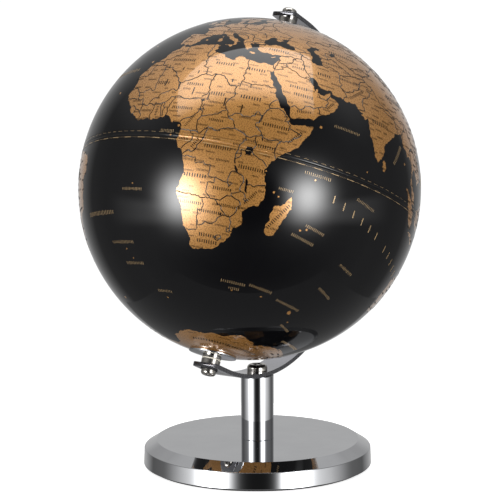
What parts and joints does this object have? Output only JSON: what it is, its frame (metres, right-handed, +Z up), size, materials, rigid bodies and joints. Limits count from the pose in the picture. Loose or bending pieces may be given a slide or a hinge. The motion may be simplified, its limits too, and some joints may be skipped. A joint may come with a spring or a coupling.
{
  "type": "desktop globe",
  "caption": "Black and gold desktop globe that spins on a tilted axis between the ends of a bent steel arm, on a chromed post and a weighted round base.",
  "frame": {"origin": "middle of the base pad's underside, on the post's axis", "axes": "+Z up along the post, +X the way the globe's north pole leans, +Y square to the arm's plane"},
  "size_m": [0.1513, 0.14, 0.1893],
  "materials": {
    "chrome_plate": "mirror",
    "polished_strip": "polished faces, brushed edges",
    "nickel_screws": "bright nickel plate",
    "zinc_steel": "bright zinc plate",
    "dark_washer": "matt black fibre",
    "cast_weight": "rough cast",
    "foam_pad": "matt closed-cell foam",
    "nylon": "natural nylon",
    "globe_black": "gloss lacquer over a printed map"
  },
  "bodies": {
    "stand": {"base_shell": "chrome_plate", "base_weight": "cast_weight", "base_pad": "foam_pad", "base_bolt": "zinc_steel", "base_bolt_washer": "zinc_steel", "base_bolt_spring_washer": "zinc_steel", "post_tube": "chrome_plate", "post_bottom_plug": "zinc_steel", "post_top_plug": "zinc_steel", "meridian_arm": "polished_strip", "arm_screw": "nickel_screws", "north_pivot_screw": "nickel_screws", "north_screw_washer": "dark_washer", "north_collar": "nickel_screws", "south_pivot_screw": "nickel_screws", "south_screw_washer": "dark_washer", "south_collar": "nickel_screws", "south_thrust_washer": "nylon"},
    "globe": {"north_hemisphere": "globe_black", "south_hemisphere": "globe_black", "north_pole_bush": "nickel_screws", "south_pole_bush": "nickel_screws", "south_pole_disc": "chrome_plate"}
  },
  "joints": [
    {"name": "globe_spin", "type": "hinge", "parent": "stand", "child": "globe", "pos_m": [-0.00523, 0, 0.11627], "axis": [0.3987, 0, 0.9171], "continuous": true}
  ]
}
